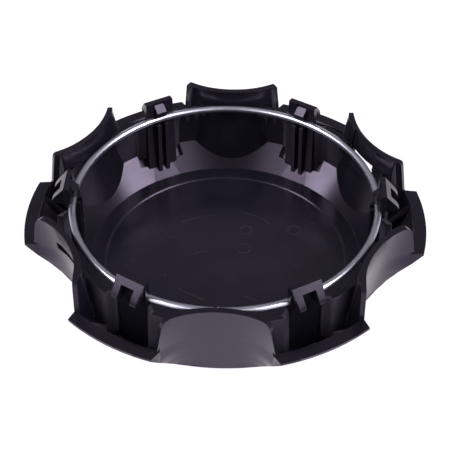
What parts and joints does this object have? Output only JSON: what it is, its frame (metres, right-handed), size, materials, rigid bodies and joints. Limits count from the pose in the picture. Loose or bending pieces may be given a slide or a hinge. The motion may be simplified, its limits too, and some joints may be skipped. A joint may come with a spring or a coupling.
{
  "type": "wheel centre cap",
  "caption": "Round wheel centre cap lying face down, with lug-nut pockets round its rim, snap clips on its back and a wire retaining ring held inside the clips.",
  "frame": {"origin": "centre of the front face, in the plane that the cap lies on", "axes": "+Z from the front face into the wheel, along the wheel's axis; +X through the middle of one rim lobe and its clip"},
  "size_m": [0.1434, 0.1374, 0.0369],
  "materials": {
    "black_plastic": "semi-gloss moulded",
    "zinc_wire": "zinc plated spring wire"
  },
  "bodies": {
    "root": {"cap_moulding": "black_plastic", "retaining_ring": "zinc_wire"}
  },
  "joints": []
}
